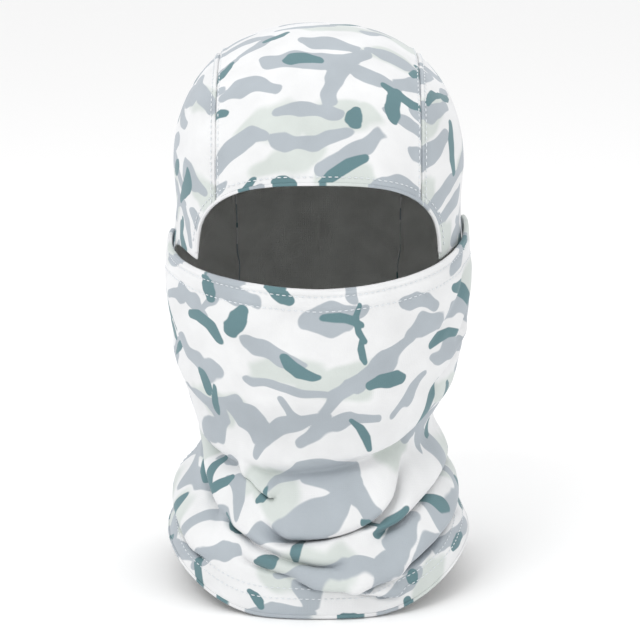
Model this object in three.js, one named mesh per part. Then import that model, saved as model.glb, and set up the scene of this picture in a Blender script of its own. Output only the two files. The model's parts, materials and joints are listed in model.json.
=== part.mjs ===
// A hooded balaclava in the shape it takes on a head, in millimetres. +Z is up, the face looks towards -Y,
// left is -X, and the origin lies under the middle of the hem. The panels are thin sheets of cloth laid on two
// smooth forms: the outer one, and an inner one in front, where the hood tucks in behind its face cover.
// The face cover is a wedge of cloth that turns down about a hinge line through the ears.
import * as THREE from "three";

// Heights above the bottom of the hem.
const crownHeight = 320;
const templeHeight = 240;
const browHeight = 242;
const earHeight = 214;
const hingeHeight = 198;
const cheekHeight = 178;
const jawHeight = 124;
const neckHeight = 90;
const collarHeight = 50;
const hemHeight = 24;

// Widths across the form, and how far it reaches to the front and back of the ears.
const headWidth = 166;
const cheekStandOff = 4.5;
const earStandOff = 1.5;
const jawTaper = 3;
const neckWidth = 133;
const collarWidth = 155;
const hemWidth = 180;
const foreheadReach = 96;
const noseStandOff = 8;
const chinReach = 99;
const neckFront = 77;
const collarFront = 87;
const hemReach = 98;
const occiputReach = 103;
const napeReach = 77;
const neckBack = 71;
const collarBack = 80;
const roundness = 2.3;
const domeRoundness = 2.2;

// Cloth, seams and the room between layers.
const cloth = 1.2;
const seamGap = 0.4;
const lapGap = 0.7;
const layerRoom = 2;
const tuckRoom = 3;
const threadRadius = 0.5;
const threadLift = 0.6;
const stitchRowGap = 6;

// Panels and the eye opening.
const crownStripWidth = 112;
const napeStripWidth = 98;
const cheekStrip = 16;
const archSquareness = 0.72;
const sideSeamReach = 14;
const sideSeamLap = 6;
const sideSeamStep = 10;
const tuckBack = 4;
const tuckRise = 18;
const hemFold = 20;
const browFold = 12;
const coverFold = 14;

// The wedge of the face cover, seen from the side: its edges, and its end by the ear.
const hingeReach = 8;
const cornerDrop = 2;
const coverFrontDrop = 11;
const coverSideRise = 17;
const coverBottomAngle = 24;
const coverLapAngle = 2.5;
const coverEndReach = 11;

const { lerp, smoothstep, clamp, degToRad } = THREE.MathUtils;
const point = (x, y, z) => new THREE.Vector3(x, y, z);
const power = (base, exponent) => Math.pow(Math.max(base, 0), exponent);

const cheekBack = lerp(napeReach, occiputReach, 0.7);
const earBack = lerp(napeReach, occiputReach, 0.92);
const outerRows = [
  { z: 0, side: hemWidth / 2, front: hemReach, back: hemReach },
  { z: hemHeight, side: hemWidth / 2, front: hemReach, back: hemReach },
  { z: collarHeight, side: collarWidth / 2, front: collarFront, back: collarBack },
  { z: neckHeight, side: neckWidth / 2, front: neckFront, back: neckBack },
  { z: jawHeight, side: headWidth / 2 - jawTaper, front: chinReach, back: napeReach },
  {
    z: cheekHeight,
    side: headWidth / 2 + cheekStandOff,
    front: foreheadReach + noseStandOff,
    back: cheekBack,
  },
  { z: earHeight, side: headWidth / 2 + earStandOff, front: foreheadReach + noseStandOff - 2, back: earBack },
  { z: templeHeight, side: headWidth / 2, front: foreheadReach, back: occiputReach },
];

// How far in the inner form lies, row by row from the hem up: under the front panel alone, or under the front
// panel, the face cover and its fold.
const lapRoom = cloth + lapGap;
const coverInset = cloth + layerRoom;
const coverRoom = coverInset + cloth + lapGap + tuckRoom;
const tucks = [lapRoom, lapRoom, lapRoom, lapRoom, coverRoom, coverRoom, coverRoom, 0];
const innerRows = outerRows.map((row, i) => ({
  ...row,
  side: row.side - tucks[i],
  front: Math.min(row.front - tucks[i], foreheadReach + 1),
}));

// A smooth curve through the rows that never overshoots them.
function interpolate(rows, key, z) {
  const last = rows.length - 1;
  if (z <= rows[0].z) return rows[0][key];
  if (z >= rows[last].z) return rows[last][key];
  const slope = (k) => (rows[k + 1][key] - rows[k][key]) / (rows[k + 1].z - rows[k].z);
  const tangent = (k) => {
    if (k === 0 || k === last || slope(k - 1) * slope(k) <= 0) return 0;
    return (2 * slope(k - 1) * slope(k)) / (slope(k - 1) + slope(k));
  };
  const i = rows.findIndex((row, k) => k < last && z <= rows[k + 1].z);
  const span = rows[i + 1].z - rows[i].z;
  const t = (z - rows[i].z) / span;
  const bend = span * (t * (1 - t) * (1 - t) * tangent(i) - t * t * (1 - t) * tangent(i + 1));
  return lerp(rows[i][key], rows[i + 1][key], t * t * (3 - 2 * t)) + bend;
}

// A form gives its half width ("side") and its reach ("front" or "back") at a height. The hood's form passes
// from the inner one to the outer one behind the side seams.
const outerForm = (key, y, z) => interpolate(outerRows, key, z);
const innerForm = (key, y, z) => interpolate(innerRows, key, z);
function hoodForm(key, y, z) {
  const share = smoothstep(y, sideSeamReach, sideSeamReach + sideSeamStep);
  return lerp(innerForm(key, y, z), outerForm(key, y, z), share);
}

// What the closing dome takes away, from 0 at the temples to 1 at the crown.
const dome = (z) => power((z - templeHeight) / (crownHeight - templeHeight), domeRoundness);
const depthKey = (y) => (y < 0 ? "front" : "back");

// Below 1 inside the form, and 1 on it.
function level(form, p) {
  const across = Math.abs(p.x) / form("side", p.y, p.z);
  const along = Math.abs(p.y) / form(depthKey(p.y), p.y, p.z);
  return power(across, roundness) + power(along, roundness) + dome(p.z);
}

function normalOn(form, p) {
  const step = 0.05;
  const slope = (dx, dy, dz) => level(form, point(p.x + dx, p.y + dy, p.z + dz))
    - level(form, point(p.x - dx, p.y - dy, p.z - dz));
  return point(slope(step, 0, 0), slope(0, step, 0), slope(0, 0, step)).normalize();
}

function halfWidth(form, y, z) {
  const along = Math.abs(y) / form(depthKey(y), y, z);
  return form("side", y, z) * power(1 - dome(z) - power(along, roundness), 1 / roundness);
}

function frontReach(form, x, z) {
  const across = Math.abs(x) / form("side", -1, z);
  return form("front", -1, z) * power(1 - dome(z) - power(across, roundness), 1 / roundness);
}

// Where a ray from inside the form meets it.
function castRay(form, origin, direction) {
  let inside = 0;
  let outside = 2 * crownHeight;
  for (let i = 0; i < 48; i += 1) {
    const middle = (inside + outside) / 2;
    if (level(form, origin.clone().addScaledVector(direction, middle)) < 1) inside = middle;
    else outside = middle;
  }
  return origin.clone().addScaledVector(direction, inside);
}

// A point below the temples, at an azimuth from the front that grows towards +X.
function aroundForm(form, azimuth, z) {
  const sine = Math.sin(azimuth);
  const cosine = Math.cos(azimuth);
  const x = form("side", -cosine, z) * Math.sign(sine) * power(Math.abs(sine), 2 / roundness);
  const y = -form(depthKey(-cosine), -cosine, z) * Math.sign(cosine) * power(Math.abs(cosine), 2 / roundness);
  return point(x, y, z);
}

function azimuthAt(form, y, z) {
  const cosine = power(Math.min(Math.abs(y) / form(depthKey(y), y, z), 1), roundness / 2);
  return y < 0 ? Math.acos(cosine) : Math.PI - Math.acos(cosine);
}

// A sheet of cloth on a form: place(i, j) gives the points of a grid. Its outer face lies inset below the form,
// and its inner face a cloth's thickness further in. The two faces are closed by walls along the edges.
function sheet(name, material, form, place, columns, rows, inset = 0) {
  const outer = [];
  const inner = [];
  for (let j = 0; j <= rows; j += 1) {
    for (let i = 0; i <= columns; i += 1) {
      const p = place(i, j);
      const normal = normalOn(form, p);
      if (p.z < hemHeight / 2) normal.setZ(0).normalize();
      outer.push(p.clone().addScaledVector(normal, -inset));
      inner.push(p.clone().addScaledVector(normal, -inset - cloth));
    }
  }
  const count = outer.length;
  const corners = [...outer, ...inner];
  const index = [];
  const id = (i, j) => j * (columns + 1) + i;
  const quad = (a, b, c, d) => index.push(a, b, c, a, c, d);
  for (let j = 0; j < rows; j += 1) {
    for (let i = 0; i < columns; i += 1) {
      quad(id(i, j), id(i + 1, j), id(i + 1, j + 1), id(i, j + 1));
      quad(count + id(i, j), count + id(i, j + 1), count + id(i + 1, j + 1), count + id(i + 1, j));
    }
  }
  for (let i = 0; i < columns; i += 1) {
    quad(id(i, 0), count + id(i, 0), count + id(i + 1, 0), id(i + 1, 0));
    quad(id(i, rows), id(i + 1, rows), count + id(i + 1, rows), count + id(i, rows));
  }
  for (let j = 0; j < rows; j += 1) {
    quad(id(0, j), id(0, j + 1), count + id(0, j + 1), count + id(0, j));
    quad(id(columns, j), count + id(columns, j), count + id(columns, j + 1), id(columns, j + 1));
  }
  let volume = 0;
  for (let i = 0; i < index.length; i += 3) {
    const [a, b, c] = index.slice(i, i + 3).map((k) => corners[k]);
    volume += a.dot(b.clone().cross(c));
  }
  const geometry = new THREE.BufferGeometry().setFromPoints(corners);
  geometry.setIndex(volume < 0 ? index.reverse() : index);
  geometry.computeVertexNormals();
  return named(name, geometry, material);
}

// A row of stitching: one thin cord just off the cloth whose outer face lies inset below the form.
function stitching(name, form, points, steps, inset = 0) {
  const lifted = points.map((p) => p.clone()
    .addScaledVector(normalOn(form, p), threadRadius + threadLift - inset));
  const section = new THREE.Shape();
  for (let i = 0; i < 5; i += 1) {
    const turn = (i * 2 * Math.PI) / 5;
    section[i ? "lineTo" : "moveTo"](threadRadius * Math.cos(turn), threadRadius * Math.sin(turn));
  }
  const extrudePath = new THREE.CatmullRomCurve3(lifted, false, "catmullrom", 0);
  return named(name, new THREE.ExtrudeGeometry(section, { steps, bevelEnabled: false, extrudePath }), thread);
}

function named(name, geometry, material) {
  const mesh = new THREE.Mesh(geometry, material);
  mesh.name = name;
  return mesh;
}

const samples = (count, make) => Array.from({ length: count + 1 }, (_, i) => make(i / count));
const stops = (from, to, count) => Array.from({ length: count }, (_, i) => lerp(from, to, (i + 1) / count));

// Heights shared by every panel that runs down to the hem, so that their facets lie on one another.
const lowerHeights = [
  ...stops(jawHeight, neckHeight, 3),
  ...stops(neckHeight, collarHeight, 4),
  ...stops(collarHeight, hemHeight, 2),
  0,
];
const backHeights = [cheekHeight, ...stops(cheekHeight, jawHeight, 3), ...lowerHeights];

// The eye opening is a flat-topped arch across the front.
const cornerHeight = hingeHeight - cornerDrop;
const openingWidth = headWidth - 2 * cheekStrip;
const archHeight = (x) => {
  const cosine = power(Math.min(Math.abs(x) / (openingWidth / 2), 1), 1 / archSquareness);
  return lerp(cornerHeight, browHeight, power(Math.sqrt(1 - cosine * cosine), archSquareness));
};
const archTurn = (x) => Math.acos(power(x / (openingWidth / 2), 1 / archSquareness));
function archPoint(turn) {
  const x = (openingWidth / 2) * Math.sign(Math.cos(turn)) * power(Math.abs(Math.cos(turn)), archSquareness);
  const z = lerp(cornerHeight, browHeight, power(Math.sin(turn), archSquareness));
  return point(x, -frontReach(innerForm, x, z), z);
}

// The crown strip fans over the head from the brow to the back, with its rows closest at the brow,
// then falls to the hem.
const fanRows = 24;
const crownRows = fanRows + backHeights.length;
function crownPoint(across, row, edgeGap = seamGap / 2) {
  const narrowing = smoothstep(row / crownRows, 0.4, 0.75);
  const x = across * (lerp(crownStripWidth, napeStripWidth, narrowing) / 2 - edgeGap);
  if (row > fanRows) return castRay(hoodForm, point(x, 0, backHeights[row - fanRows - 1]), point(0, 1, 0));
  const brow = archHeight(x);
  const start = Math.atan2(brow - hingeHeight, frontReach(innerForm, x, brow));
  const angle = lerp(start, Math.PI, power(row / fanRows, 1.25));
  return castRay(hoodForm, point(x, 0, hingeHeight), point(0, -Math.cos(angle), Math.sin(angle)));
}

// Columns of the strip crowd towards its seams, where the brow's arch is steep.
const crownColumns = 16;
const crownGrid = (i, j) => crownPoint(Math.sin((i / crownColumns - 0.5) * Math.PI), j);

// A side panel's front edge in the side view, row by row: down the arch, back behind the face cover
// to the side seam at the jaw, and down under the seam's lap to the hem.
const sideStart = 1;
const archRows = 14;
const jawRow = fanRows + 4;
const lapEdge = sideSeamReach - sideSeamLap;
function sideEdge(row) {
  if (row <= archRows) {
    const turn = archTurn(crownStripWidth / 2) * (1 - (row - sideStart) / (archRows - sideStart));
    const p = archPoint(turn);
    return new THREE.Vector2(p.y, p.z);
  }
  if (row <= jawRow) {
    const corner = archPoint(0);
    const curve = new THREE.QuadraticBezierCurve(
      new THREE.Vector2(corner.y, corner.z),
      new THREE.Vector2(lapEdge + tuckBack, cornerHeight + tuckRise),
      new THREE.Vector2(lapEdge, jawHeight),
    );
    return curve.getPoint((row - archRows) / (jawRow - archRows));
  }
  return new THREE.Vector2(lapEdge, backHeights[row - fanRows - 1]);
}

// Columns of a side panel: in front of the side seam, through the step behind it, and on to the crown seam.
const sideColumns = [5, 3, 7];
function sidePoint(side, column, row) {
  const front = sideEdge(row);
  const back = crownPoint(1, row, -seamGap / 2);
  const run = Math.max(back.y - front.x, 1);
  const seam = clamp((sideSeamReach + seamGap - front.x) / run, 0.05, 0.75);
  const step = clamp((sideSeamReach + sideSeamStep - front.x) / run, seam + 0.05, 0.9);
  const [before, through, after] = sideColumns;
  let share = lerp(0, seam, column / before);
  if (column > before) share = lerp(seam, step, (column - before) / through);
  if (column > before + through) share = lerp(step, 1, (column - before - through) / after);
  const y = lerp(front.x, back.y, share);
  const z = lerp(front.y, back.z, share);
  return point(side * halfWidth(hoodForm, y, z), y, z);
}

// The height at which the outer form meets a plane through the hinge line that falls towards the front.
function planeHeight(angle, azimuth) {
  let z = cheekHeight;
  for (let i = 0; i < 12; i += 1) {
    z = hingeHeight - Math.tan(degToRad(angle)) * (hingeReach - aroundForm(outerForm, azimuth, z).y);
  }
  return z;
}

const coverEdgeFront = hingeHeight - coverFrontDrop;
const coverEdgeSide = hingeHeight + coverSideRise;
const coverEnd = azimuthAt(outerForm, -coverEndReach, cheekHeight);
const coverEdge = (azimuth) => {
  const share = Math.min(Math.abs(azimuth) / (Math.PI / 2), 1);
  return lerp(coverEdgeFront, coverEdgeSide, power(share, 1.4));
};

// The part of the face cover that turns.
const coverColumns = 32;
const coverRows = 5;
function coverPoint(column, row) {
  const azimuth = lerp(-coverEnd, coverEnd, column / coverColumns);
  const z = lerp(planeHeight(coverBottomAngle, azimuth), coverEdge(azimuth), row / coverRows);
  return aroundForm(outerForm, azimuth, z);
}

// The front below it, from side seam to side seam, with a wing at each end that laps the cover's end.
const frontColumns = 40;
const frontTopRows = 4;
const frontRows = frontTopRows + lowerHeights.length;
function frontPoint(column, row) {
  const share = lerp(-1, 1, column / frontColumns);
  const azimuthHere = (z) => share * azimuthAt(outerForm, sideSeamReach, z);
  if (row > frontTopRows) {
    const z = lowerHeights[row - frontTopRows - 1];
    return aroundForm(outerForm, azimuthHere(z), z);
  }
  const azimuth = azimuthHere(cheekHeight);
  const wing = smoothstep(Math.abs(azimuth), coverEnd - 0.05, coverEnd + 0.04);
  const lap = planeHeight(coverBottomAngle - coverLapAngle, azimuth);
  const z = lerp(lerp(lap, coverEdgeSide, wing), jawHeight, row / frontTopRows);
  return aroundForm(outerForm, azimuthHere(z), z);
}

// The folded hems: a second layer of cloth inside each edge.
const browColumns = 30;
function browPoint(column, depth) {
  const turn = lerp(0.2, Math.PI - 0.2, column / browColumns);
  const edge = archPoint(turn);
  const along = archPoint(turn + 0.02).sub(archPoint(turn - 0.02));
  const outward = along.cross(normalOn(innerForm, edge)).setLength(depth);
  const centre = point(0, 0, hingeHeight);
  return castRay(innerForm, centre, edge.add(outward).sub(centre).normalize());
}

const coverFoldColumns = 30;
function coverFoldPoint(column, row) {
  const azimuth = lerp(-coverEnd, coverEnd, column / coverFoldColumns) * 0.985;
  return aroundForm(outerForm, azimuth, coverEdge(azimuth) - seamGap - (coverFold * row) / 2);
}

const hemColumns = 60;
function hemPoint(column, row) {
  const azimuth = lerp(-Math.PI + 0.01, Math.PI - 0.01, column / hemColumns);
  return aroundForm(outerForm, azimuth, seamGap + (hemFold * row) / 2);
}

const clothMaterial = (color) => new THREE.MeshStandardMaterial({ color, roughness: 0.85, metalness: 0 });
const printed = clothMaterial(0xd9dddd);
const lining = clothMaterial(0x9b9d9c);
const thread = clothMaterial(0xc4cbcd);

const sideRows = crownRows - sideStart;
const sideCount = sideColumns.reduce((total, count) => total + count);

const hood = new THREE.Group();
hood.add(
  sheet("crown_panel", printed, hoodForm, crownGrid, crownColumns, crownRows),
  sheet("left_side_panel", printed, hoodForm, (i, j) => sidePoint(-1, i, j + sideStart), sideCount, sideRows),
  sheet("right_side_panel", printed, hoodForm, (i, j) => sidePoint(1, i, j + sideStart), sideCount, sideRows),
  sheet("front_panel", printed, outerForm, frontPoint, frontColumns, frontRows),
  sheet("brow_hem", lining, innerForm, (i, j) => browPoint(i, (j * browFold) / 2), browColumns, 2, lapRoom),
  sheet("bottom_hem", lining, outerForm, hemPoint, hemColumns, 2, 2 * lapRoom),
);

// Rows of stitching along the hems and over the seams.
const hemRow = (z) => samples(64, (t) => aroundForm(outerForm, lerp(-3.13, 3.13, t), z));
const crownSeam = (side) => samples(crownRows - 5, (t) => crownPoint(side, 4 + t * (crownRows - 5), 0));
const sideSeam = (side) => samples(frontRows - 1, (t) => {
  const z = Math.min(frontPoint(0, Math.round(t * (frontRows - 1))).z, coverEdgeSide - 4);
  const y = sideSeamReach - 2.5;
  return point(side * halfWidth(outerForm, y, z), y, z);
});
hood.add(
  stitching(
    "brow_hem_thread",
    innerForm,
    samples(browColumns, (t) => browPoint(t * browColumns, browFold - 3)),
    40,
  ),
  stitching("bottom_hem_thread_upper", outerForm, hemRow(hemFold - 2), 72),
  stitching("bottom_hem_thread_lower", outerForm, hemRow(hemFold - 2 - stitchRowGap), 72),
  stitching("left_crown_seam_thread", hoodForm, crownSeam(-1), 44),
  stitching("right_crown_seam_thread", hoodForm, crownSeam(1), 44),
  stitching("left_side_seam_thread", outerForm, sideSeam(-1), 28),
  stitching("right_side_seam_thread", outerForm, sideSeam(1), 28),
);

const coverRow = (drop) => samples(32, (t) => {
  const azimuth = lerp(-coverEnd, coverEnd, t) * 0.95;
  return aroundForm(outerForm, azimuth, coverEdge(azimuth) - drop);
});
const faceCover = new THREE.Group();
faceCover.add(
  sheet("face_cover", printed, outerForm, coverPoint, coverColumns, coverRows, coverInset),
  sheet("face_cover_hem", lining, outerForm, coverFoldPoint, coverFoldColumns, 2, coverInset + lapRoom),
  stitching("face_cover_thread_upper", outerForm, coverRow(5), 48, coverInset),
  stitching("face_cover_thread_lower", outerForm, coverRow(5 + stitchRowGap), 48, coverInset),
);

const balaclava = new THREE.Group();
balaclava.add(hood, faceCover);

export default balaclava;
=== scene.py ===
import json
import math
import random

import bpy
import numpy as np
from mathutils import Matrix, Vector


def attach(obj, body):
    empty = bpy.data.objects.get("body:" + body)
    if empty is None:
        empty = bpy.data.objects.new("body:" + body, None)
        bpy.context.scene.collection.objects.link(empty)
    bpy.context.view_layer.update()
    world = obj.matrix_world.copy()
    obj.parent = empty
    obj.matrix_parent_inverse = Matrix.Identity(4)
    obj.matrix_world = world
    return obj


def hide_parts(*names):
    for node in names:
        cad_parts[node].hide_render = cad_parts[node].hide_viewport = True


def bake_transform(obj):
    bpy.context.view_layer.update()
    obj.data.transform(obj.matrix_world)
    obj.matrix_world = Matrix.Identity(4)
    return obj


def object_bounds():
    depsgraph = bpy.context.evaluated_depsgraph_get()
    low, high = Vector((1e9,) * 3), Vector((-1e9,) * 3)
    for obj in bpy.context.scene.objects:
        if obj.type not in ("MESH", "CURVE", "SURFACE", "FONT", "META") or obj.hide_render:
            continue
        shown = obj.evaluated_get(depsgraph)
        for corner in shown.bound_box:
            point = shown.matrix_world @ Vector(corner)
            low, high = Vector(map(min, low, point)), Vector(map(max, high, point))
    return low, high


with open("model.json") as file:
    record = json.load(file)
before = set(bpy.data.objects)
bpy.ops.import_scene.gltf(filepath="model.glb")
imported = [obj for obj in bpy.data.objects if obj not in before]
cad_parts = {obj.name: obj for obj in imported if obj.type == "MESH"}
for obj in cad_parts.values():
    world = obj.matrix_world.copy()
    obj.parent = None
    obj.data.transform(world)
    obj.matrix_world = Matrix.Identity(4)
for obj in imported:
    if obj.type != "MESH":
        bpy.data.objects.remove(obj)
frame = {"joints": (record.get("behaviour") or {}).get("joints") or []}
cadLow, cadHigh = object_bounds()
mm = 0.001  # shapes are worked out in millimetres and made in metres

# The shape that the hood takes on a head.
headShape = {
    "rows": [  # height, half width, reach to the front, reach to the back
        (0, 88.5, 97, 97),
        (24, 88.5, 97, 97),
        (50, 77.5, 87, 80),
        (90, 66.5, 77, 71),
        (124, 80, 99, 77),
        (178, 87.5, 104, 95.2),
        (214, 84.5, 102, 100.9),
        (240, 83, 96, 103),
    ],
    "temple": 240,
    "crown": cadHigh.z / mm - 0.5,
    "round": 2.3,
    "domeRound": 2.2,
    "hinge": frame["joints"][0]["pos_m"][2] / mm,
    # how deep the side cloth lies behind the front cloth, by height
    "tuck": [(0, 1.5), (110, 1.5), (150, 3.7), (214, 3.5), (240, 0)],
    "seamReach": 14,  # the side seams lie this far behind the middle
    "seamStep": 10,
    "lap": 6,
}
eyeOpening = {"half": 67, "corner": 196, "brow": 242, "square": 0.72}
coverEdge = {"front": 187, "left": 199, "right": 207, "bend": 1.3}
hemLine = {"side": 26, "back": 10}  # how far the lower edge lifts at the sides and at the back


def ramp(value, low, high):
    share = np.clip((np.asarray(value, float) - low) / (high - low), 0, 1)
    return share * share * (3 - 2 * share)


def mix(a, b, share):
    return a + (b - a) * share


def signedPower(value, exponent):
    return np.sign(value) * np.abs(value) ** exponent


def rowCurve(column):
    rows = np.array(headShape["rows"], float)
    z, value = rows[:, 0], rows[:, column]
    slope = np.diff(value) / np.diff(z)
    tangent = np.zeros(len(z))
    for k in range(1, len(z) - 1):
        if slope[k - 1] * slope[k] > 0:
            tangent[k] = 2 * slope[k - 1] * slope[k] / (slope[k - 1] + slope[k])
    fine = np.arange(z[0], z[-1] + 0.5)
    k = np.clip(np.searchsorted(z, fine, side="right") - 1, 0, len(z) - 2)
    span = z[k + 1] - z[k]
    t = (fine - z[k]) / span
    bend = span * (t * (1 - t) ** 2 * tangent[k] - t * t * (1 - t) * tangent[k + 1])
    return fine, mix(value[k], value[k + 1], t * t * (3 - 2 * t)) + bend


sideCurve, frontCurve, backCurve = (rowCurve(column) for column in (1, 2, 3))


def formReach(kind, y, z):
    # half width and reach at a height; kind is outer, inner, or hood, which steps from one to the other
    share = {"outer": 0.0, "inner": 1.0}.get(kind)
    if share is None:
        share = 1 - ramp(y, headShape["seamReach"], headShape["seamReach"] + headShape["seamStep"])
    tuckHeights, tucks = zip(*headShape["tuck"])
    tuck = np.interp(z, tuckHeights, tucks) * share
    front = np.interp(z, *frontCurve)
    front = np.minimum(front - tuck, mix(front, 98, np.clip(share, 0, 1)))
    return np.interp(z, *sideCurve) - tuck, np.where(y < 0, front, np.interp(z, *backCurve))


def dome(z):
    height = headShape["crown"] - headShape["temple"]
    return np.maximum((z - headShape["temple"]) / height, 0) ** headShape["domeRound"]


def level(kind, p):
    side, depth = formReach(kind, p[..., 1], p[..., 2])
    n = headShape["round"]
    return (np.abs(p[..., 0]) / side) ** n + (np.abs(p[..., 1]) / depth) ** n + dome(p[..., 2])


def normalOn(kind, p):
    slopes = []
    for axis in np.eye(3) * 0.4:
        slopes.append(level(kind, p + axis) - level(kind, p - axis))
    slopes = np.stack(slopes, -1)
    return slopes / np.maximum(np.linalg.norm(slopes, axis=-1, keepdims=True), 1e-9)


def castRay(kind, start, direction):
    inside, outside = np.zeros(start.shape[:-1]), np.full(start.shape[:-1], 400.0)
    for _ in range(34):
        middle = (inside + outside) / 2
        isIn = level(kind, start + direction * middle[..., None]) < 1
        inside, outside = np.where(isIn, middle, inside), np.where(isIn, outside, middle)
    return start + direction * inside[..., None]


def halfWidth(kind, y, z):
    side, depth = formReach(kind, y, z)
    room = 1 - dome(z) - (np.abs(y) / depth) ** headShape["round"]
    return side * np.maximum(room, 0) ** (1 / headShape["round"])


def frontReach(kind, x, z):
    side, depth = formReach(kind, -np.ones_like(x), z)
    room = 1 - dome(z) - (np.abs(x) / side) ** headShape["round"]
    return depth * np.maximum(room, 0) ** (1 / headShape["round"])


def aroundForm(kind, azimuth, z):
    # azimuth 0 is the front, and it grows towards +X
    sine, cosine = np.sin(azimuth), np.cos(azimuth)
    side, depth = formReach(kind, -cosine, z)
    power = 2 / headShape["round"]
    x, y, z = np.broadcast_arrays(side * signedPower(sine, power), -depth * signedPower(cosine, power), z)
    return np.stack([x, y, z], -1)


def azimuthOf(p):
    side, depth = formReach("outer", p[..., 1], p[..., 2])
    power = headShape["round"] / 2
    return np.arctan2(signedPower(p[..., 0] / side, power), -signedPower(p[..., 1] / depth, power))


def azimuthAt(y, z):
    depth = formReach("outer", np.full_like(np.asarray(z, float), y), z)[1]
    return math.pi / 2 + np.arcsin(np.clip(y / depth, -1, 1) ** (headShape["round"] / 2))


# A fold runs over the cloth between two ends, in degrees round from the front and millimetres up from
# the hem, and dips by "sag" halfway. Cloth stands up by "rise" in a roll above the line, as wide as
# "wide", which hangs over it by "hang", and the line itself sinks by "deep", as narrow as "narrow".
neckFolds = {
    "chinBag": dict(ends=((-100, 100), (65, 110)), sag=25, rise=2.6, wide=11, deep=3.4, narrow=6, hang=3),
    "frontCrease": dict(ends=((-25, 55), (45, 85)), sag=18, rise=4.2, wide=8, deep=6.5, narrow=3.2, hang=6),
    "upperRoll": dict(ends=((15, 40), (105, 70)), sag=-12, rise=4.6, wide=8, deep=5, narrow=3.5, hang=5),
    "lowerRoll": dict(ends=((20, 20), (110, 50)), sag=-12, rise=4.6, wide=7.5, deep=4.6, narrow=3.5, hang=5),
    "pinch": dict(ends=((-40, 85), (-15, 65)), sag=2, rise=4.2, wide=3.2, deep=3.4, narrow=2.4, hang=3),
    "leftRoll": dict(ends=((-110, 50), (-40, 25)), sag=-5, rise=5.6, wide=8, deep=4.2, narrow=3.6, hang=5),
    "leftRollTop": dict(ends=((-110, 85), (-40, 45)), sag=-12,
                        rise=2.4, wide=6, deep=4.6, narrow=3.4, hang=2),
    "lowCrease": dict(ends=((-45, 55), (10, 30)), sag=2, rise=3, wide=6.5, deep=3.4, narrow=2.8, hang=3.5),
    "swoop": dict(ends=((-10, 25), (35, 35)), sag=10, rise=3.4, wide=4.6, deep=3.2, narrow=2.6, hang=3),
    "lowSwoop": dict(ends=((5, 20), (30, 10)), sag=2, rise=2, wide=4, deep=1.8, narrow=2.4, hang=1.5),
    "lowLeft": dict(ends=((-30, 35), (-5, 25)), sag=0, rise=2, wide=5, deep=2.2, narrow=2.8, hang=2),
    "rightTuck": dict(ends=((40, 30), (85, 40)), sag=-8, rise=1.8, wide=5, deep=2.4, narrow=3, hang=1),
    "backRollHigh": dict(ends=((-190, 90), (-100, 80)), sag=2, rise=3.4, wide=8, deep=3.6, narrow=4, hang=3),
    "backRollLow": dict(ends=((-195, 55), (-95, 55)), sag=0, rise=4, wide=8, deep=4, narrow=4, hang=4),
    "backRollRight": dict(ends=((95, 90), (190, 75)), sag=2, rise=3.4, wide=8, deep=3.6, narrow=4, hang=3),
    "backLowRight": dict(ends=((110, 40), (175, 35)), sag=0, rise=3, wide=7, deep=3, narrow=4, hang=3),
}
faceWrinkles = {
    "rightCheek": dict(ends=((40, 150), (70, 190)), sag=5, rise=1.0, wide=7, deep=1.1, narrow=4, hang=0),
    "rightCheekLow": dict(ends=((45, 120), (80, 150)), sag=0, rise=1.4, wide=7, deep=1.3, narrow=4, hang=0),
    "rightEar": dict(ends=((60, 145), (85, 195)), sag=5, rise=1.1, wide=6, deep=1.2, narrow=4, hang=0),
    "leftCheek": dict(ends=((-85, 190), (-60, 130)), sag=0, rise=1.0, wide=8, deep=1.0, narrow=5, hang=0),
    "leftJaw": dict(ends=((-90, 135), (-45, 105)), sag=2, rise=1.3, wide=8, deep=1.2, narrow=5, hang=0),
    "napeLeft": dict(ends=((-170, 195), (-135, 150)), sag=2, rise=0.7, wide=8, deep=0.8, narrow=4, hang=0),
    "napeRight": dict(ends=((135, 150), (170, 195)), sag=2, rise=0.7, wide=8, deep=0.8, narrow=4, hang=0),
    "behindLeftEar": dict(ends=((-140, 205), (-110, 155)), sag=2,
                          rise=0.7, wide=8, deep=0.8, narrow=4, hang=0),
    "behindRightEar": dict(ends=((105, 150), (140, 205)), sag=2,
                           rise=0.7, wide=8, deep=0.8, narrow=4, hang=0),
    "noseDrape": dict(ends=((-20, 180), (25, 180)), sag=10, rise=0.5, wide=9, deep=0.5, narrow=6, hang=0),
}
weave = {"creaseSize": 26, "creaseDepth": 0.55, "fineSize": 9, "fineDepth": 0.16}


def smoothLine(points, steps):
    # a Catmull-Rom curve through the points
    p = np.array([points[0], *points, points[-1]], float)
    t = np.linspace(0, len(points) - 1, steps)
    k = np.minimum(t.astype(int), len(points) - 2)
    t = (t - k)[:, None]
    a, b, c, d = p[k], p[k + 1], p[k + 2], p[k + 3]
    square, cube = 2 * a - 5 * b + 4 * c - d, 3 * b - a - 3 * c + d
    return 0.5 * (2 * b + (c - a) * t + square * t ** 2 + cube * t ** 3)


def softNoise(u, v, size, seed):
    lattice = np.random.default_rng(seed).uniform(-1, 1, (89, 89))
    a, b = u / size, v / size
    i, j = np.floor(a).astype(int), np.floor(b).astype(int)
    s, t = a - i, b - j
    s, t = s * s * (3 - 2 * s), t * t * (3 - 2 * t)
    low = mix(lattice[i % 89, j % 89], lattice[(i + 1) % 89, j % 89], s)
    high = mix(lattice[i % 89, (j + 1) % 89], lattice[(i + 1) % 89, (j + 1) % 89], s)
    return mix(low, high, t)


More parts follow.
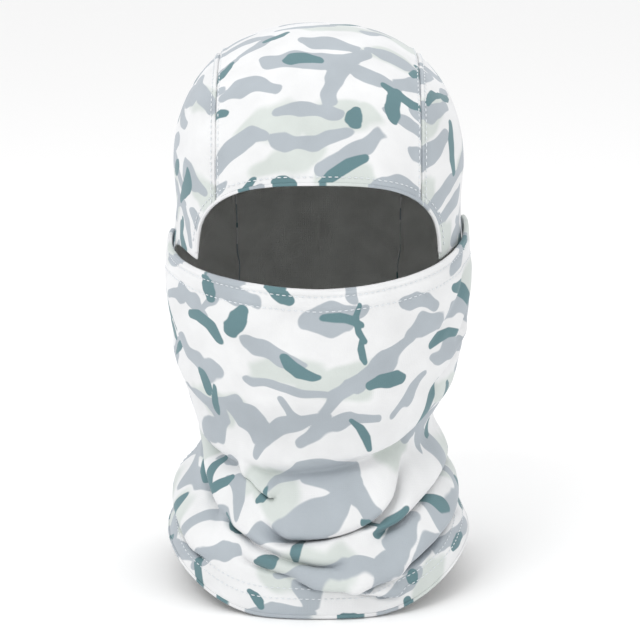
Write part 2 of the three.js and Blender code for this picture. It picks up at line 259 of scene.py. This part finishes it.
def distanceToLine(u, v, line):
    # the signed distance, positive above the line, and the share of the way along it
    best = np.full(u.shape, 1e9)
    side, along = np.zeros(u.shape), np.zeros(u.shape)
    count = len(line) - 1
    for k in range(count):
        start, run = line[k], line[k + 1] - line[k]
        du, dv = u - start[0], v - start[1]
        t = np.clip((du * run[0] + dv * run[1]) / (run @ run), 0, 1)
        offU, offV = du - t * run[0], dv - t * run[1]
        distance = offU ** 2 + offV ** 2
        closer = distance < best
        best = np.where(closer, distance, best)
        side = np.where(closer, np.sign(run[0] * offV - run[1] * offU), side)
        along = np.where(closer, (k + t) / count, along)
    return np.sqrt(best) * np.where(side == 0, 1, side), along


foldStrength = 1.8
roundMm = 80 * math.pi / 180  # millimetres of cloth to a degree


def foldLine(fold):
    start, end = fold["ends"]
    line = []
    for t in np.linspace(0, 1, 7):
        line.append((mix(start[0], end[0], t), mix(start[1], end[1], t) - fold["sag"] * 4 * t * (1 - t)))
    return line


def foldShape(azimuth, z):
    # how far cloth stands out from the form there, and how far it sags down
    degrees = np.degrees(azimuth)
    out, sag = np.zeros(z.shape), np.zeros(z.shape)
    for fold in [*neckFolds.values(), *faceWrinkles.values()]:
        line = smoothLine(foldLine(fold), 35) * (roundMm, 1)
        for turn in (-360, 0, 360):
            u = (degrees + turn) * roundMm
            if u.max() < line[:, 0].min() - 40 or u.min() > line[:, 0].max() + 40:
                continue
            distance, along = distanceToLine(u, z, line)
            ends = ramp(along, 0, 0.22) * (1 - ramp(along, 0.8, 1))
            wide, narrow = fold["wide"], fold["narrow"]
            roll = np.exp(-((distance - wide) / wide) ** 2)
            crease = np.exp(-(distance / narrow) ** 2)
            out += ends * foldStrength * (fold["rise"] * roll - fold["deep"] * crease)
            sag += ends * foldStrength * fold["hang"] * np.exp(-((distance - 0.7 * wide) / (0.9 * wide)) ** 2)
    u = degrees * roundMm
    loose = ramp(z, 240, 200)  # the crown is drawn smooth
    out += loose * weave["creaseDepth"] * softNoise(u + 0.5 * z, z - 0.4 * u, weave["creaseSize"], 3)
    out += (0.35 + 0.65 * loose) * weave["fineDepth"] * softNoise(u, z, weave["fineSize"], 4)
    free = ramp(z, hemLift(azimuth), hemLift(azimuth) + 14)
    return out * mix(0.25, 1, free), sag * free


def hemLift(azimuth):
    turn = np.abs((np.asarray(azimuth) + math.pi) % (2 * math.pi) - math.pi)
    toSide = ramp(turn, 0.25, 1.5)
    toBack = ramp(turn, 1.6, 2.9)
    ripple = 1.2 * np.sin(3 * np.asarray(azimuth) + 0.8) * (1 - np.abs(np.cos(np.asarray(azimuth))))
    return hemLine["side"] * toSide + (hemLine["back"] - hemLine["side"]) * toBack + ripple + 0.6


def onCloth(kind, p, inset=0.0):
    # moves points of a form to where the cloth lies
    azimuth = azimuthOf(p)
    out, sag = foldShape(azimuth, p[..., 2])
    normal = normalOn(kind, p)
    moved = p + normal * (out - np.asarray(inset))[..., None]
    moved[..., 2] -= sag
    return moved


# The panels as grids of points: rows run down the cloth, columns from -X to +X or from the face to the back.
def edgeHeight(azimuth):
    share = np.minimum(np.abs(azimuth) / (math.pi / 2), 1)
    side = mix(coverEdge["left"], coverEdge["right"], ramp(azimuth, -1, 1))
    return mix(coverEdge["front"], side, share ** coverEdge["bend"])


def frontForm(share, down):
    # share runs -1 to 1 from side seam to side seam, and down is 0 at the cover's edge and 1 at the hem
    azimuth = share * azimuthAt(headShape["seamReach"], 178.0)
    for _ in range(3):
        z = mix(edgeHeight(azimuth), hemLift(azimuth), down)
        azimuth = share * azimuthAt(headShape["seamReach"], z)
    return aroundForm("outer", azimuth, z)


def archHeight(x):
    cosine = np.minimum(np.abs(x) / eyeOpening["half"], 1) ** (1 / eyeOpening["square"])
    rise = np.sqrt(np.maximum(1 - cosine ** 2, 0)) ** eyeOpening["square"]
    return mix(eyeOpening["corner"], eyeOpening["brow"], rise)


def archPoint(turn):
    x = eyeOpening["half"] * signedPower(np.cos(turn), eyeOpening["square"])
    z = mix(eyeOpening["corner"], eyeOpening["brow"], np.maximum(np.sin(turn), 0) ** eyeOpening["square"])
    return np.stack([x, -frontReach("inner", x, z), z], -1)


crownStrip = {"width": 112, "napeWidth": 98, "fan": 0.62}


def crownForm(across, down):
    narrowing = ramp(down, 0.4, 0.75)
    x = across * mix(crownStrip["width"], crownStrip["napeWidth"], narrowing) / 2
    brow = archHeight(x)
    start = np.arctan2(brow - headShape["hinge"], frontReach("inner", x, brow))
    angle = mix(start, math.pi, np.minimum(down / crownStrip["fan"], 1) ** 1.25)
    below = np.maximum((down - crownStrip["fan"]) / (1 - crownStrip["fan"]), 0)
    z = mix(headShape["hinge"], hemLift(math.pi - x / 97), below)
    zero = np.zeros_like(x)
    isFan = down <= crownStrip["fan"]
    origin = np.stack([x, zero, np.where(isFan, headShape["hinge"], z)], -1)
    direction = np.stack([zero, np.where(isFan, -np.cos(angle), 1), np.where(isFan, np.sin(angle), 0)], -1)
    return castRay("hood", origin, direction)


def sideForm(side, across, down):
    # across is 0 at the face and 1 at the crown seam
    back = crownForm(np.ones_like(down), down)
    jaw = 124
    toJaw = (headShape["hinge"] - jaw) / (headShape["hinge"] - hemLine["back"])
    jawAt = crownStrip["fan"] + (1 - crownStrip["fan"]) * toJaw
    archAt = 0.36
    arch = archPoint(math.acos((crownStrip["width"] / 2 / eyeOpening["half"]) ** (1 / eyeOpening["square"]))
                     * np.clip(1 - down / archAt, 0, 1))
    corner = archPoint(np.zeros(1))[0]
    t = np.clip((down - archAt) / (jawAt - archAt), 0, 1)
    lap = headShape["seamReach"] - headShape["lap"]
    turnY = (1 - t) ** 2 * corner[1] + 2 * t * (1 - t) * (lap + 4) + t * t * lap
    turnZ = (1 - t) ** 2 * corner[2] + 2 * t * (1 - t) * (eyeOpening["corner"] + 18) + t * t * jaw
    frontY = np.where(down <= archAt, arch[..., 1], turnY)
    frontZ = np.where(down <= archAt, arch[..., 2], turnZ)
    hem = hemLift(mix(math.pi / 2, 2.6, across))
    backZ = back[..., 2]
    frontZ = np.where(down > jawAt, mix(jaw, hemLift(math.pi / 2), (down - jawAt) / (1 - jawAt)), frontZ)
    y = mix(frontY, back[..., 1], across)
    z = mix(frontZ, backZ, across)
    z = np.where(down > jawAt, np.maximum(z, mix(jaw, hem, np.clip((down - jawAt) / (1 - jawAt), 0, 1))), z)
    return np.stack([side * halfWidth("hood", y, z), y, z], -1)


def clothMesh(name, p, flat, fields, flip=False):
    rows, columns = p.shape[:2]
    k = np.arange(rows * columns).reshape(rows, columns)
    corners = [k[:-1, :-1], k[1:, :-1], k[1:, 1:], k[:-1, 1:]]
    if flip:
        corners.reverse()
    quads = np.stack(corners, -1).reshape(-1, 4)
    mesh = bpy.data.meshes.new(name)
    mesh.from_pydata((p.reshape(-1, 3) * mm).tolist(), [], quads.tolist())
    layer = mesh.uv_layers.new(name="flatCloth")
    loops = np.zeros(len(mesh.loops), int)
    mesh.loops.foreach_get("vertex_index", loops)
    layer.data.foreach_set("uv", (flat.reshape(-1, 2)[loops] * mm).astype(np.float32).ravel())
    for field, values in (fields or {}).items():
        attribute = mesh.attributes.new(field, "FLOAT", "POINT")
        attribute.data.foreach_set("value", values.astype(np.float32).ravel())
    mesh.polygons.foreach_set("use_smooth", [True] * len(mesh.polygons))
    piece = bpy.data.objects.new(name, mesh)
    bpy.context.scene.collection.objects.link(piece)
    return piece


def thicken(piece, thickness, lining):
    piece.data.materials.append(lining)
    solid = piece.modifiers.new("cloth thickness", "SOLIDIFY")
    solid.thickness = thickness * mm
    solid.offset = -1
    solid.material_offset = 1
    solid.material_offset_rim = 0
    return piece


# The snow print: warped blots in four tones, laid by chance on a staggered grid of cells.
printTones = {
    "white": (0.765, 0.77, 0.775),
    "sage": (0.60, 0.64, 0.615),
    "grey": (0.40, 0.44, 0.475),
    "teal": (0.122, 0.22, 0.24),
}
printWarp = {"warp": 5, "warpSize": 30, "ripple": 1.6, "rippleSize": 9}
printBlots = {  # millimetres and degrees; "share" is how many of the cells hold a blot
    "teal": dict(cell=(31, 25), share=0.62, length=(7, 27), half=(2.2, 4.8), lean=(-80, 80), ripple=0.6),
    "grey": dict(cell=(33, 23), share=0.86, length=(18, 44), half=(3.4, 7.6), lean=(-35, 50), ripple=1.7),
    "sage": dict(cell=(50, 46), share=0.8, length=(14, 34), half=(8, 14), lean=(-40, 40), ripple=1.7),
}


def bentBlot(draw, x, y, blot):
    # a line of four points, thickest in the middle, that bends as it goes
    lean, bend = math.radians(draw.uniform(*blot["lean"])), draw.uniform(-0.7, 0.7)
    reach, half = draw.uniform(*blot["length"]) / 3, draw.uniform(*blot["half"])
    points = []
    for step in range(4):
        t = step / 3
        points.append((x, y, half * (0.62 + 1.5 * t * (1 - t))))
        x += reach * math.cos(lean + bend * (2 * t - 1))
        y += reach * math.sin(lean + bend * (2 * t - 1))
    return points


def scatterBlots(cloth):
    draw = random.Random(cloth["seed"])
    (left, right), (low, high) = cloth["across"], cloth["along"]
    blots = {}
    for tone, blot in printBlots.items():
        wide, tall = blot["cell"]
        blots[tone] = []
        for row in range(math.ceil((high - low) / tall)):
            for column in range(math.ceil((right - left) / wide)):
                x = left + wide * (column + 0.5 * (row % 2) + draw.uniform(-0.4, 0.4))
                y = low + tall * (row + draw.uniform(0.1, 0.9))
                if draw.random() < blot["share"]:
                    blots[tone].append(bentBlot(draw, x, y, blot))
    return blots


def printFields(u, v, cloth):
    seed = cloth["seed"]
    u = u + printWarp["warp"] * softNoise(u, v, printWarp["warpSize"], seed)
    v = v + printWarp["warp"] * softNoise(u, v, printWarp["warpSize"], seed + 1)
    rippleU = printWarp["ripple"] * softNoise(u, v, printWarp["rippleSize"], seed + 2)
    rippleV = printWarp["ripple"] * softNoise(u, v, printWarp["rippleSize"], seed + 3)
    fields = {}
    for tone, strokes in scatterBlots(cloth).items():
        ripple = printBlots[tone]["ripple"]
        su, sv = u + ripple * rippleU, v + ripple * rippleV
        fields[tone] = np.full(u.shape, 40.0)
        for stroke in strokes:
            points = np.array(stroke)
            for a, b in zip(points[:-1], points[1:]):
                run = b[:2] - a[:2]
                t = np.clip(((su - a[0]) * run[0] + (sv - a[1]) * run[1]) / (run @ run), 0, 1)
                off = np.hypot(su - a[0] - t * run[0], sv - a[1] - t * run[1])
                fields[tone] = np.minimum(fields[tone], off - mix(a[2], b[2], t))
    return fields


def tonedMix(nodes, links, field, color, below, softness):
    attribute = nodes.new("ShaderNodeAttribute")
    attribute.attribute_name = field
    edge = nodes.new("ShaderNodeMapRange")
    edge.interpolation_type = "SMOOTHSTEP"
    edge.inputs["From Min"].default_value = -softness
    edge.inputs["From Max"].default_value = softness
    edge.inputs["To Min"].default_value = 1
    edge.inputs["To Max"].default_value = 0
    links.new(attribute.outputs["Fac"], edge.inputs["Value"])
    blend = nodes.new("ShaderNodeMix")
    blend.data_type = "RGBA"
    blend.inputs["B"].default_value = (*color, 1)
    links.new(edge.outputs["Result"], blend.inputs["Factor"])
    links.new(below, blend.inputs["A"])
    return blend.outputs["Result"]


def knitBump(nodes, links, ribPitch, strength, distance):
    # ribs of knit stitches across the cloth, with rows of loops down each rib
    uv = nodes.new("ShaderNodeUVMap")
    uv.uv_map = "flatCloth"
    heights = []
    for direction, pitch in (("X", ribPitch), ("Y", ribPitch * 0.8)):
        wave = nodes.new("ShaderNodeTexWave")
        wave.wave_type = "BANDS"
        wave.bands_direction = direction
        wave.inputs["Scale"].default_value = 0.314 / (pitch * mm)
        wave.inputs["Distortion"].default_value = 0.6
        wave.inputs["Detail"].default_value = 1
        wave.inputs["Detail Scale"].default_value = 2
        links.new(uv.outputs["UV"], wave.inputs["Vector"])
        heights.append(wave.outputs["Fac"])
    fuzz = nodes.new("ShaderNodeTexNoise")
    fuzz.inputs["Scale"].default_value = 900
    fuzz.inputs["Detail"].default_value = 3
    links.new(uv.outputs["UV"], fuzz.inputs["Vector"])
    loops = nodes.new("ShaderNodeMath")
    loops.operation = "MULTIPLY_ADD"
    links.new(heights[0], loops.inputs[0])
    links.new(heights[1], loops.inputs[1])
    links.new(fuzz.outputs["Fac"], loops.inputs[2])
    bump = nodes.new("ShaderNodeBump")
    bump.inputs["Strength"].default_value = strength
    bump.inputs["Distance"].default_value = distance
    links.new(loops.outputs["Value"], bump.inputs["Height"])
    return bump.outputs["Normal"], uv.outputs["UV"]


def clothShader(name, roughness, sheen, sheenTint):
    material = bpy.data.materials.new(name)
    material.use_nodes = True
    nodes, links = material.node_tree.nodes, material.node_tree.links
    shader = nodes["Principled BSDF"]
    shader.inputs["Roughness"].default_value = roughness
    shader.inputs["Sheen Weight"].default_value = sheen
    shader.inputs["Sheen Roughness"].default_value = 0.45
    shader.inputs["Sheen Tint"].default_value = (*sheenTint, 1)
    shader.inputs["Specular IOR Level"].default_value = 0.32
    return material, nodes, links, shader


def shadeByNoise(nodes, links, vector, color, scale, low, high):
    # a slow change of tone over the cloth
    noise = nodes.new("ShaderNodeTexNoise")
    noise.inputs["Scale"].default_value = scale
    noise.inputs["Detail"].default_value = 4
    links.new(vector, noise.inputs["Vector"])
    spread = nodes.new("ShaderNodeMapRange")
    spread.inputs["From Min"].default_value = 0.3
    spread.inputs["From Max"].default_value = 0.7
    spread.inputs["To Min"].default_value = low
    spread.inputs["To Max"].default_value = high
    links.new(noise.outputs["Fac"], spread.inputs["Value"])
    shaded = nodes.new("ShaderNodeMix")
    shaded.data_type = "RGBA"
    shaded.blend_type = "MULTIPLY"
    shaded.inputs["Factor"].default_value = 1
    links.new(color, shaded.inputs["A"])
    links.new(spread.outputs["Result"], shaded.inputs["B"])
    return shaded.outputs["Result"]


def makePrintedKnit():
    material, nodes, links, shader = clothShader("snowPrintKnit", 0.78, 0.22, (0.93, 0.95, 1))
    normal, uv = knitBump(nodes, links, 1.15, 0.22, 0.00022)
    base = nodes.new("ShaderNodeRGB")
    base.outputs[0].default_value = (*printTones["white"], 1)
    color = base.outputs[0]
    for field, softness in (("sage", 2.2), ("grey", 0.45), ("teal", 0.35)):
        color = tonedMix(nodes, links, field, printTones[field], color, softness)
    color = shadeByNoise(nodes, links, uv, color, 45, 0.94, 1.04)
    links.new(color, shader.inputs["Base Color"])
    links.new(normal, shader.inputs["Normal"])
    return material


def makeLiningKnit():
    material, nodes, links, shader = clothShader("liningKnit", 0.9, 0.3, (0.9, 0.92, 0.9))
    normal, uv = knitBump(nodes, links, 1.3, 0.35, 0.0003)
    base = nodes.new("ShaderNodeRGB")
    base.outputs[0].default_value = (0.60, 0.605, 0.59, 1)
    color = shadeByNoise(nodes, links, uv, base.outputs[0], 60, 0.88, 1.08)
    links.new(color, shader.inputs["Base Color"])
    links.new(normal, shader.inputs["Normal"])
    return material


def makeThread():
    material, nodes, links, shader = clothShader("paleThread", 0.6, 0.35, (1, 1, 1))
    place = nodes.new("ShaderNodeTexCoord")
    twist = nodes.new("ShaderNodeTexWave")
    twist.bands_direction = "DIAGONAL"
    twist.inputs["Scale"].default_value = 700
    links.new(place.outputs["Object"], twist.inputs["Vector"])
    tones = nodes.new("ShaderNodeMix")
    tones.data_type = "RGBA"
    tones.inputs["A"].default_value = (0.62, 0.66, 0.69, 1)
    tones.inputs["B"].default_value = (0.82, 0.85, 0.87, 1)
    links.new(twist.outputs["Fac"], tones.inputs["Factor"])
    links.new(tones.outputs["Result"], shader.inputs["Base Color"])
    bump = nodes.new("ShaderNodeBump")
    bump.inputs["Strength"].default_value = 0.5
    bump.inputs["Distance"].default_value = 0.0001
    links.new(twist.outputs["Fac"], bump.inputs["Height"])
    links.new(bump.outputs["Normal"], shader.inputs["Normal"])
    return material


printedKnit, liningKnit, paleThread = makePrintedKnit(), makeLiningKnit(), makeThread()
print("materials are ready")


def gridOf(rows, columns, low=-1.0):
    across, down = np.meshgrid(np.linspace(low, 1, columns), np.linspace(0, 1, rows))
    return across, down


# The front cloth, from the cover's edge to the hem in one piece.
frontCloth = {
    "rows": 300,
    "columns": 330,
    "thickness": 0.9,
    "puff": 0.7,  # how far the folded edge stands up, between the edge and its stitching
    "stitchRows": (3.6, 11.6),
    "print": {"seed": 20, "across": (-160, 160), "along": (-30, 225)},
}


def makeFrontCloth():
    across, down = gridOf(frontCloth["rows"], frontCloth["columns"])
    base = frontForm(across, down)
    p = onCloth("outer", base)
    azimuth = azimuthOf(base)
    below = edgeHeight(azimuth) - base[..., 2]
    upper, lower = frontCloth["stitchRows"]
    puff = ramp(below, -1, 2) * (1 - ramp(below, upper - 1.2, upper))
    puff += 0.8 * ramp(below, upper, upper + 2.5) * (1 - ramp(below, lower - 2.5, lower))
    p += normalOn("outer", base) * (frontCloth["puff"] * puff)[..., None]
    flat = np.stack([np.degrees(azimuth) * roundMm, base[..., 2]], -1)
    fields = printFields(flat[..., 0], flat[..., 1], frontCloth["print"])
    piece = thicken(clothMesh("frontCloth", p, flat, fields, flip=False), frontCloth["thickness"], liningKnit)
    return piece


def seamInset(distance):
    # a flat seam: a narrow groove between two raised bands
    band = ramp(distance, 0.3, 1) * (1 - ramp(distance, 2.6, 4))
    return 0.35 + 0.55 * np.exp(-(distance / 0.7) ** 2) - 0.5 * band


crownCloth = {
    "rows": 340,
    "columns": 110,
    "thickness": 0.9,
    "print": {"seed": 41, "across": (-80, 80), "along": (-30, 550)},
}


def makeCrownCloth():
    across, down = gridOf(crownCloth["rows"], crownCloth["columns"])
    base = crownForm(across, down)
    p = onCloth("hood", base, seamInset(56 * (1 - np.abs(across))))
    lengths = np.linalg.norm(np.diff(base[:, 55], axis=0), axis=-1)
    run = np.concatenate([[0], np.cumsum(lengths)])
    flat = np.stack([base[..., 0], -np.broadcast_to(run[:, None], down.shape)], -1)
    fields = printFields(flat[..., 0], -flat[..., 1], crownCloth["print"])
    piece = clothMesh("crownCloth", p, flat, fields, flip=True)
    return thicken(piece, crownCloth["thickness"], liningKnit)


sideCloth = {
    "rows": 320,
    "columns": 110,
    "thickness": 0.9,
    "print": {
        "left": {"seed": 60, "across": (-120, 120), "along": (-20, 320)},
        "right": {"seed": 80, "across": (-120, 120), "along": (-20, 320)},
    },
}


def makeSideCloth(name, side):
    across, down = gridOf(sideCloth["rows"], sideCloth["columns"], 0.0)
    down = 0.006 + 0.994 * down
    base = sideForm(side, across, down)
    p = onCloth("hood", base, seamInset(np.linalg.norm(base - base[:, -1:], axis=-1)))
    flat = np.stack([side * base[..., 1], base[..., 2] + 0.6 * np.maximum(80 - np.abs(base[..., 0]), 0)], -1)
    fields = printFields(base[..., 1], flat[..., 1], sideCloth["print"][name])
    piece = clothMesh(name + "SideCloth", p, flat, fields, flip=side < 0)
    return thicken(piece, sideCloth["thickness"], liningKnit)


frontPiece = makeFrontCloth()
print("front cloth done")
crownPiece = makeCrownCloth()
leftPiece = makeSideCloth("left", -1)
rightPiece = makeSideCloth("right", 1)
for piece in (frontPiece, crownPiece, leftPiece, rightPiece):
    piece.data.materials.clear()
    piece.data.materials.append(printedKnit)
    piece.data.materials.append(liningKnit)
print("crown and side cloths done")

# The folded hems: the cloth turns round its edge and lies inside it.
hems = {"browDepth": 12, "coverDepth": 14, "bottomDepth": 20, "inside": 1.7, "lip": 0.5, "thickness": 0.4}


def hemSection(depth):
    # into the cloth from its edge, and out from its face
    inside, lip = hems["inside"], hems["lip"]
    turns = np.linspace(0, math.pi, 9)
    rim = [(0.35 - lip * math.sin(a), mix(0.14, -inside, (1 - math.cos(a)) / 2)) for a in turns]
    return [(1.8, -0.1), (1.1, 0.1), *rim, (2, -inside), *((d, -inside) for d in np.linspace(4, depth, 5))]


def foldedHem(name, band, kind, columns, depth, flip=False):
    rows = []
    edge, inner = band(columns, 0.0), band(columns, 1.0)
    outward = (edge - inner) / np.linalg.norm(edge - inner, axis=-1, keepdims=True)
    for into, out in hemSection(depth):
        form = band(columns, max(into, 0.0))
        row = onCloth(kind, form) + normalOn(kind, form) * out
        rows.append(row + outward * max(-into, 0.0))
    p = np.stack(rows)
    flat = np.stack([np.broadcast_to(np.arange(p.shape[1]) * 1.5, p.shape[:2]),
                     np.broadcast_to(np.arange(p.shape[0])[:, None] * 1.5, p.shape[:2])], -1)
    fields = hemFields[name](edge, p.shape)
    piece = clothMesh(name, p, flat, fields, flip)
    thicken(piece, hems["thickness"], liningKnit)
    piece.data.materials.clear()
    piece.data.materials.append(printedKnit)
    piece.data.materials.append(printedKnit)
    return piece


def browBand(columns, depth):
    turn = np.linspace(0.03, math.pi - 0.03, columns)
    edge = archPoint(turn)
    along = archPoint(turn + 0.02) - archPoint(turn - 0.02)
    away = np.cross(along, normalOn("inner", edge))
    away /= np.linalg.norm(away, axis=-1, keepdims=True)
    centre = np.broadcast_to(np.array([0, 0, headShape["hinge"]]), edge.shape)
    ray = edge + away * depth - centre
    return castRay("inner", centre, ray / np.linalg.norm(ray, axis=-1, keepdims=True))


def coverBand(columns, depth):
    azimuth = np.linspace(-1, 1, columns) * azimuthAt(headShape["seamReach"], 178.0)
    return aroundForm("outer", azimuth, edgeHeight(azimuth) - depth)


def bottomBand(columns, depth):
    azimuth = np.linspace(-math.pi, math.pi, columns)
    return aroundForm("outer", azimuth, hemLift(azimuth) + depth)


# Stitching: short dashes of thread along a path, each a little sunk into the cloth at its ends.
stitches = {"length": 2.1, "gap": 1.3, "radius": 0.3, "sides": 6, "lift": 0.12}
stitchRows = {"brow": 4.8, "bottom": (11, 17), "besideSeam": 1.9}  # millimetres in from the edge or the seam


def stitchMesh(name, paths):
    points, faces = [], []
    ring = np.linspace(0, 2 * math.pi, stitches["sides"], endpoint=False)
    for path, normal in paths:
        steps = np.linalg.norm(np.diff(path, axis=0), axis=-1)
        run = np.concatenate([[0], np.cumsum(steps)])
        pitch = stitches["length"] + stitches["gap"]
        count = int(run[-1] / pitch)
        at = lambda d, values: np.array([np.interp(d, run, values[:, axis]) for axis in range(3)])
        for k in range(count):
            start = (k + 0.5) * pitch - stitches["length"] / 2
            first = len(points)
            profile = ((0, 0.25, -0.2), (0.2, 0.95, 0.15), (0.5, 1, 0.3), (0.8, 0.95, 0.15), (1, 0.25, -0.2))
            for share, thick, height in profile:
                d = start + share * stitches["length"]
                centre, up = at(d, path), at(d, normal)
                forward = at(d + 0.5, path) - at(d - 0.5, path)
                forward /= max(np.linalg.norm(forward), 1e-6)
                up = up - forward * (up @ forward)
                up /= max(np.linalg.norm(up), 1e-6)
                across = np.cross(forward, up)
                centre = centre + up * (stitches["lift"] + height * stitches["radius"])
                for a in ring:
                    offset = across * math.cos(a) + up * math.sin(a)
                    points.append(centre + offset * stitches["radius"] * thick)
            n = stitches["sides"]
            for row in range(4):
                for j in range(n):
                    a, b = first + row * n + j, first + row * n + (j + 1) % n
                    faces.append((a, b, b + n, a + n))
            faces.append(tuple(first + j for j in reversed(range(n))))
            faces.append(tuple(first + 4 * n + j for j in range(n)))
    mesh = bpy.data.meshes.new(name)
    mesh.from_pydata((np.array(points) * mm).tolist(), [], faces)
    mesh.polygons.foreach_set("use_smooth", [True] * len(mesh.polygons))
    mesh.materials.append(paleThread)
    piece = bpy.data.objects.new(name, mesh)
    bpy.context.scene.collection.objects.link(piece)
    return piece


def pathOn(kind, form, rise=0.0):
    return onCloth(kind, form, -rise), normalOn(kind, form)


def plainFields(edge, shape):
    u = np.degrees(azimuthOf(edge)) * roundMm
    fields = printFields(u, edge[..., 2], frontCloth["print"])
    return {key: np.broadcast_to(value, shape[:2]) for key, value in fields.items()}


def browFields(edge, shape):
    fields = printFields(edge[..., 0], np.zeros(len(edge)), crownCloth["print"])
    return {key: np.broadcast_to(value, shape[:2]) for key, value in fields.items()}


hemFields = {"browHem": browFields, "coverHem": plainFields, "bottomHem": plainFields}
browHem = foldedHem("browHem", browBand, "inner", 260, hems["browDepth"], flip=True)
coverHem = foldedHem("coverHem", coverBand, "outer", 300, hems["coverDepth"])
bottomHem = foldedHem("bottomHem", bottomBand, "outer", 420, hems["bottomDepth"], flip=True)
print("hems done")

coverStitching = stitchMesh("coverStitching", [
    pathOn("outer", coverBand(400, drop)[6:-6]) for drop in frontCloth["stitchRows"]])
browStitching = stitchMesh("browStitching", [pathOn("inner", browBand(300, stitchRows["brow"])[4:-4], -0.2)])
bottomStitching = stitchMesh("bottomStitching", [
    pathOn("outer", bottomBand(500, rise)) for rise in stitchRows["bottom"]])


def crownSeamPaths(side):
    down = np.linspace(0.012, 0.97, 400)
    rows = []
    for off in (-stitchRows["besideSeam"], stitchRows["besideSeam"]):
        form = crownForm(np.full(400, side * (1 + off / 54)), down)
        rows.append(pathOn("hood", form, 0.12))
    return rows


leftCrownStitching = stitchMesh("leftCrownStitching", crownSeamPaths(-1))
rightCrownStitching = stitchMesh("rightCrownStitching", crownSeamPaths(1))


def sideSeamPath(side):
    down = np.linspace(0.03, 0.93, 300)
    return [pathOn("outer", frontForm(np.full(300, side * 0.982), down))]


leftSideStitching = stitchMesh("leftSideStitching", sideSeamPath(-1))
rightSideStitching = stitchMesh("rightSideStitching", sideSeamPath(1))
print("stitching done")

# Camera, floor and lights.
viewpoint = {"distance": 1.3, "elevation": 12, "aim": 0.160, "lens": 126.1, "shift": (0.0023, -0.032)}


def makeCamera():
    camera = bpy.data.objects.new("camera", bpy.data.cameras.new("camera"))
    bpy.context.scene.collection.objects.link(camera)
    tilt = math.radians(viewpoint["elevation"])
    away = viewpoint["distance"]
    camera.location = (0, -away * math.cos(tilt), viewpoint["aim"] + away * math.sin(tilt))
    camera.rotation_euler = (math.pi / 2 - tilt, 0, 0)
    camera.data.lens = viewpoint["lens"]
    camera.data.shift_x, camera.data.shift_y = viewpoint["shift"]
    bpy.context.scene.camera = camera


def makeFloor():
    bpy.ops.mesh.primitive_plane_add(size=24, location=(0, 0, cadLow.z - 0.0005))
    floor = bpy.context.object
    floor.name = "floor"
    paint = bpy.data.materials.new("paleFloor")
    paint.use_nodes = True
    shader = paint.node_tree.nodes["Principled BSDF"]
    shader.inputs["Base Color"].default_value = (0.97, 0.97, 0.97, 1)
    shader.inputs["Roughness"].default_value = 0.95
    shader.inputs["Specular IOR Level"].default_value = 0.1
    floor.data.materials.append(paint)


studioLights = {
    "key": dict(place=(-0.75, -1.1, 1.75), size=0.8, power=10.5),
    "fill": dict(place=(1.5, -1.2, 0.7), size=1.6, power=2.2),
    "top": dict(place=(0.1, 0.3, 1.9), size=1.6, power=3.2),
}


def makeLights():
    for name, light in studioLights.items():
        lamp = bpy.data.lights.new(name, "AREA")
        lamp.size, lamp.energy = light["size"], light["power"]
        holder = bpy.data.objects.new(name, lamp)
        holder.location = light["place"]
        toObject = Vector((0, 0, 0.16)) - Vector(light["place"])
        holder.visible_camera = False
        holder.rotation_euler = toObject.to_track_quat("-Z", "Y").to_euler()
        bpy.context.scene.collection.objects.link(holder)
    world = bpy.data.worlds.new("studio")
    world.use_nodes = True
    world.node_tree.nodes["Background"].inputs["Color"].default_value = (1, 1, 1, 1)
    world.node_tree.nodes["Background"].inputs["Strength"].default_value = 0.95
    bpy.context.scene.world = world
    bpy.context.scene.view_settings.view_transform = "Standard"


makeCamera()
makeFloor()
makeLights()

# The front cloth, the cover hem and the cover stitching take the place of their parts where they are made;
# the rest take the place of theirs and are attached to the hood.
turning = (
    (frontPiece, ("front_panel", "face_cover")),
    (coverHem, ("face_cover_hem",)),
    (coverStitching, ("face_cover_thread_upper", "face_cover_thread_lower")),
)
staying = (
    (crownPiece, ("crown_panel",)),
    (leftPiece, ("left_side_panel",)),
    (rightPiece, ("right_side_panel",)),
    (browHem, ("brow_hem",)),
    (bottomHem, ("bottom_hem",)),
    (browStitching, ("brow_hem_thread",)),
    (bottomStitching, ("bottom_hem_thread_upper", "bottom_hem_thread_lower")),
    (leftCrownStitching, ("left_crown_seam_thread",)),
    (rightCrownStitching, ("right_crown_seam_thread",)),
    (leftSideStitching, ("left_side_seam_thread",)),
    (rightSideStitching, ("right_side_seam_thread",)),
)
for piece, nodes in turning:
    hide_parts(*nodes)
    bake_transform(piece)
for piece, nodes in staying:
    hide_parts(*nodes)
    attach(piece, "hood")
